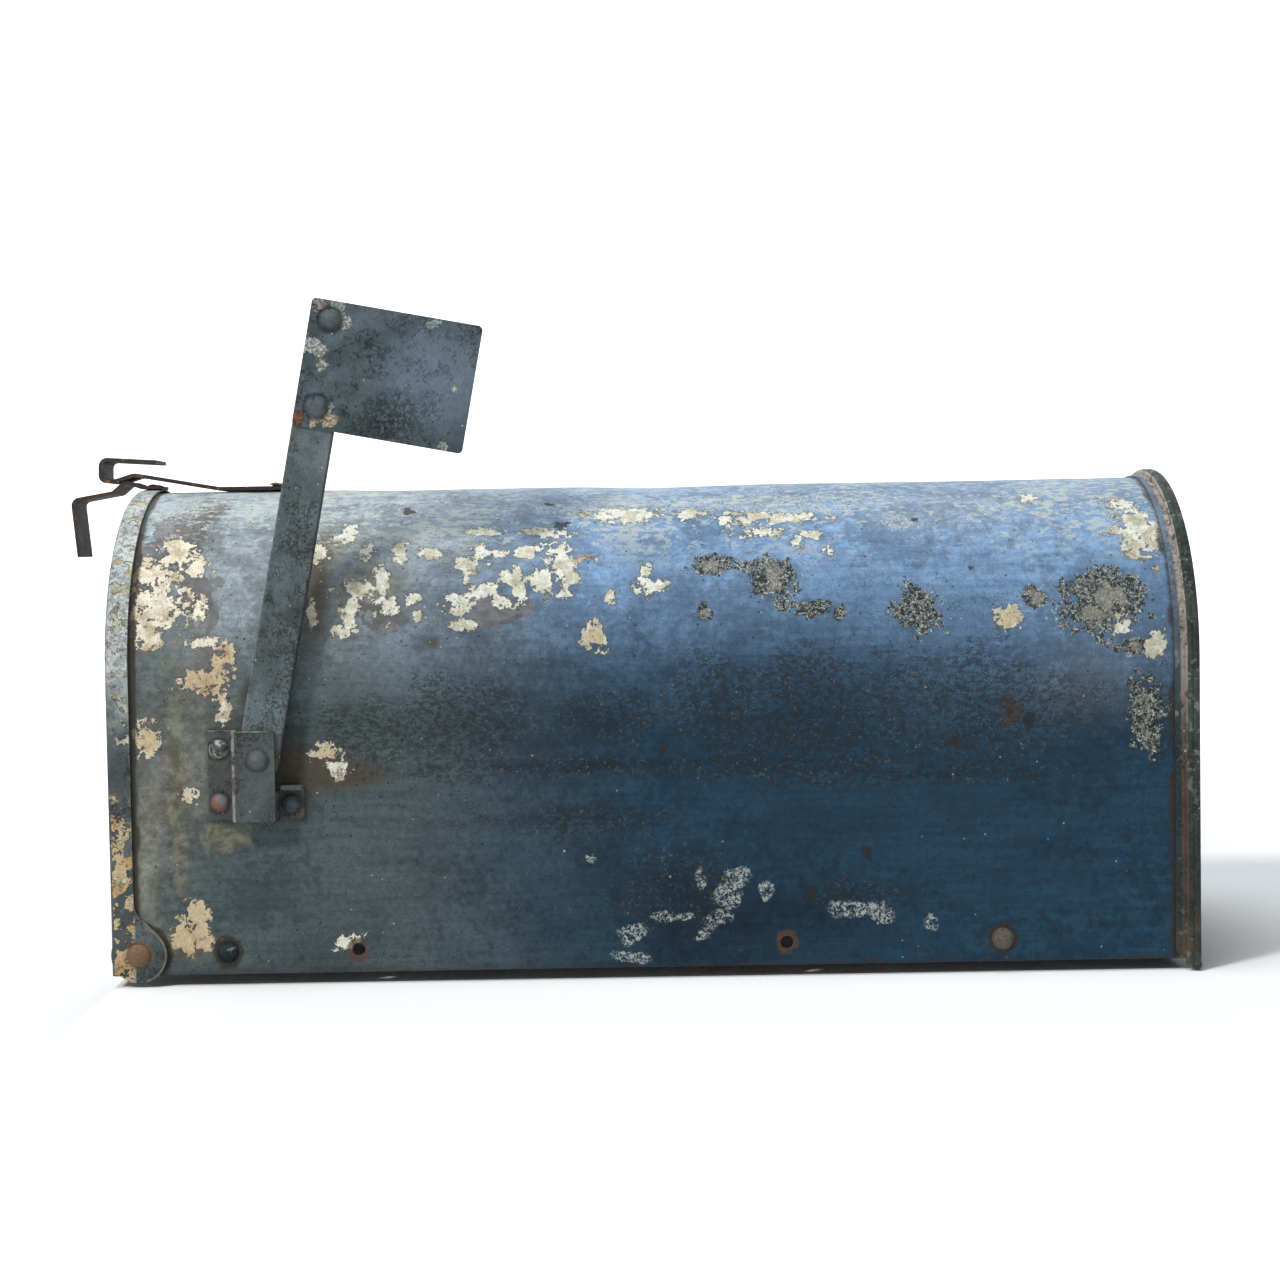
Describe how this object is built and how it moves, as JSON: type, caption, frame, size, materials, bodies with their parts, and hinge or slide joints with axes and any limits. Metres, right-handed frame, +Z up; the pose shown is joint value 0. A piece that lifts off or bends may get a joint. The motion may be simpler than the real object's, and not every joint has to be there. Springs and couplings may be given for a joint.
{
  "type": "rural mailbox",
  "caption": "Weathered arched steel mailbox with a drop-down door, a spring catch with finger tab, a pivoting signal flag and screw holes for a mounting board.",
  "frame": {"origin": "middle of the floor pan's underside, where a mounting board seats; the bottom edges of the box are 20 mm below it", "axes": "+X runs from the door to the rear panel, the flag is on the -Y side, +Z is up"},
  "size_m": [0.5148, 0.1821, 0.3014],
  "materials": {
    "flaked_paint": "semi-gloss slate-blue paint, flaking to cream primer and rust",
    "flag_paint": "pitted grey-green paint with worn bare edges",
    "rusted_strap": "dark brown rusted spring steel",
    "rusted_rivet": "orange-brown rust",
    "painted_rivet": "dull paint over steel"
  },
  "bodies": {
    "box": {"shell": "flaked_paint", "floor_pan": "flaked_paint", "rear_panel": "flaked_paint", "flag_bracket": "flag_paint", "hinge_rivet_flag_side": "rusted_rivet", "hinge_rivet_plain_side": "rusted_rivet", "floor_rivet_flag_side_front": "painted_rivet", "floor_rivet_flag_side_rear": "painted_rivet", "floor_rivet_plain_side_front": "painted_rivet", "floor_rivet_plain_side_rear": "painted_rivet", "catch_rivet_flag_side": "rusted_strap", "catch_rivet_plain_side": "rusted_strap", "bracket_rivet_upper": "painted_rivet", "bracket_rivet_lower": "painted_rivet", "bracket_rivet_tab": "painted_rivet", "flag_pivot_rivet": "painted_rivet"},
    "door": {"door": "flaked_paint", "door_pull": "rusted_strap", "pull_rivet_flag_side": "rusted_strap", "pull_rivet_plain_side": "rusted_strap"},
    "catch": {"catch_strap": "rusted_strap"},
    "flag": {"flag_arm": "flag_paint", "flag_plate": "flag_paint", "flag_rivet_upper": "painted_rivet", "flag_rivet_lower": "painted_rivet"}
  },
  "joints": [
    {"name": "door_hinge", "type": "hinge", "parent": "box", "child": "door", "pos_m": [-0.2291, 0, -0.0108], "axis": [0, -1, 0], "range_deg": [0, 100]},
    {"name": "catch_lift", "type": "hinge", "parent": "box", "child": "catch", "pos_m": [-0.171, 0, 0.1972], "axis": [0, 1, 0], "range_deg": [0, 4], "stiffness_Nm_per_rad": 8, "springref_deg": -1.72},
    {"name": "flag_pivot", "type": "hinge", "parent": "box", "child": "flag", "pos_m": [-0.1732, -0.0915, 0.0757], "axis": [0, 1, 0], "range_deg": [-13, 85]}
  ]
}
